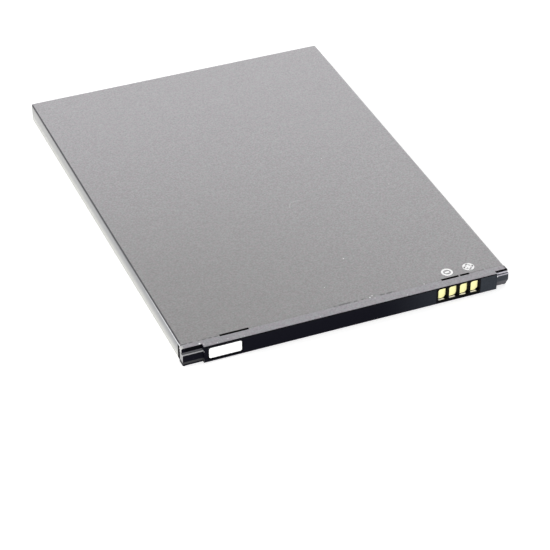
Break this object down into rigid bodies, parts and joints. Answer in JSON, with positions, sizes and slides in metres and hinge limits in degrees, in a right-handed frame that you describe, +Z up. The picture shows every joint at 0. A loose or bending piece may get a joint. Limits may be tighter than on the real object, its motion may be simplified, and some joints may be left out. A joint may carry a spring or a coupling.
{
  "type": "tablet battery",
  "caption": "Thin flat rechargeable pack wrapped in grey film, with a black end cap, recessed gold contacts, a white moisture sticker and stepped corner tabs.",
  "frame": {"origin": "centre of the footprint, on the underside of the wrapped pack", "axes": "+Z up out of the face that carries the polarity signs, -Y the way the contacts face, +Y along the length, +X to the right of the contact face"},
  "size_m": [0.0786, 0.1106, 0.0045],
  "materials": {
    "label_film": "satin laminated film",
    "cap_plastic": "semi-gloss moulded",
    "gold_plate": "gold plated",
    "sticker_paper": "matt paper",
    "frame_plastic": "matt moulded",
    "pouch_laminate": "satin laminate",
    "tab_aluminium": "rolled foil",
    "nickel": "rolled strip",
    "tab_sealant": "translucent film",
    "chip_epoxy": "moulded epoxy",
    "board_laminate": "solder mask",
    "chip_ceramic": "ceramic",
    "insulating_paper": "fibre paper",
    "adhesive": "tacky sheet",
    "edge_tape": "polyimide tape",
    "foam": "closed-cell foam"
  },
  "bodies": {
    "root": {"label_wrap": "label_film", "front_cap": "cap_plastic", "contact_1": "gold_plate", "contact_2": "gold_plate", "contact_3": "gold_plate", "contact_4": "gold_plate", "moisture_sticker": "sticker_paper", "frame": "frame_plastic", "seal_cover": "frame_plastic", "pouch_cell": "pouch_laminate", "positive_tab": "tab_aluminium", "negative_tab": "nickel", "positive_tab_seal": "tab_sealant", "negative_tab_seal": "tab_sealant", "positive_lead": "nickel", "negative_lead": "nickel", "thermal_cutoff": "chip_epoxy", "circuit_board": "board_laminate", "protection_chip": "chip_epoxy", "switch_transistor": "chip_epoxy", "thermistor": "chip_ceramic", "chip_passives": "chip_ceramic", "insulating_paper": "insulating_paper", "upper_adhesive": "adhesive", "lower_adhesive": "adhesive", "left_edge_tape": "edge_tape", "right_edge_tape": "edge_tape", "end_foam": "foam"}
  },
  "joints": []
}
